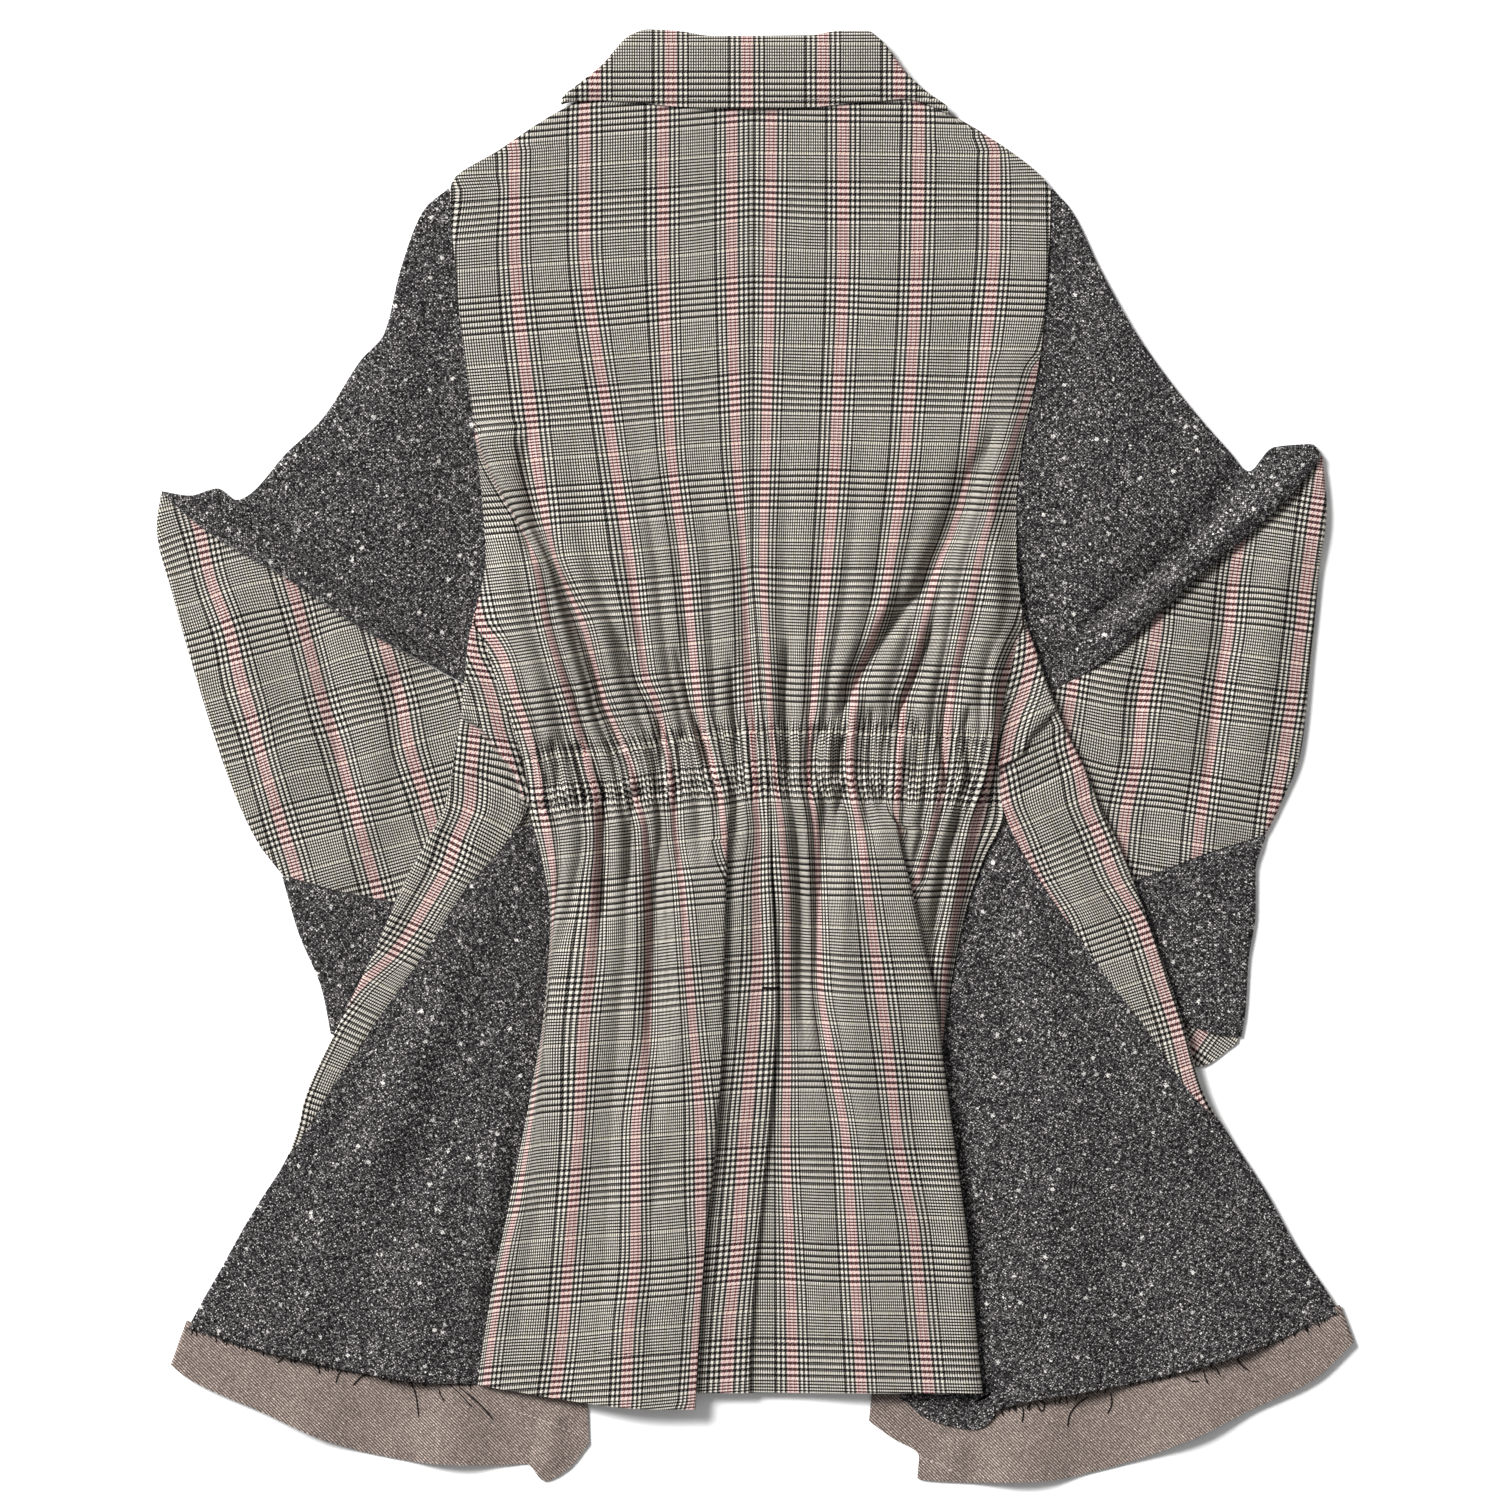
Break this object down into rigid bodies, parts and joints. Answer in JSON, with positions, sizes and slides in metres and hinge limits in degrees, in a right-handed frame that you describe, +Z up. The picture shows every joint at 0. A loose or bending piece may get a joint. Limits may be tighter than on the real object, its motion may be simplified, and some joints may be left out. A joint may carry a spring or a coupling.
{
  "type": "blazer coat",
  "caption": "Long blazer coat in check suiting with tweed godets and sleeve tiers, gathered at an elasticated back waist, laid flat face down with its back up.",
  "frame": {"origin": "centre of the box round the coat, on the surface that it lies on", "axes": "+Z up out of the surface, +Y from the hem towards the collar, +X to the right as the back is seen from above, which is the wearer's right"},
  "size_m": [0.8354, 1.0165, 0.0234],
  "materials": {
    "check_suiting": "woven wool check with a pink line",
    "charcoal_tweed": "coarse tweed with white neps",
    "taupe_twill": "fine twill"
  },
  "bodies": {
    "root": {"back_left": "check_suiting", "back_right": "check_suiting", "front_left": "check_suiting", "front_right": "check_suiting", "collar": "check_suiting", "godet_left": "charcoal_tweed", "godet_right": "charcoal_tweed", "hem_band_left": "taupe_twill", "hem_band_right": "taupe_twill", "sleeve_left_upper": "charcoal_tweed", "sleeve_left_middle": "check_suiting", "sleeve_left_cuff": "charcoal_tweed", "sleeve_right_upper": "charcoal_tweed", "sleeve_right_middle": "check_suiting", "sleeve_right_cuff": "charcoal_tweed", "cuff_facing_right": "check_suiting"}
  },
  "joints": []
}
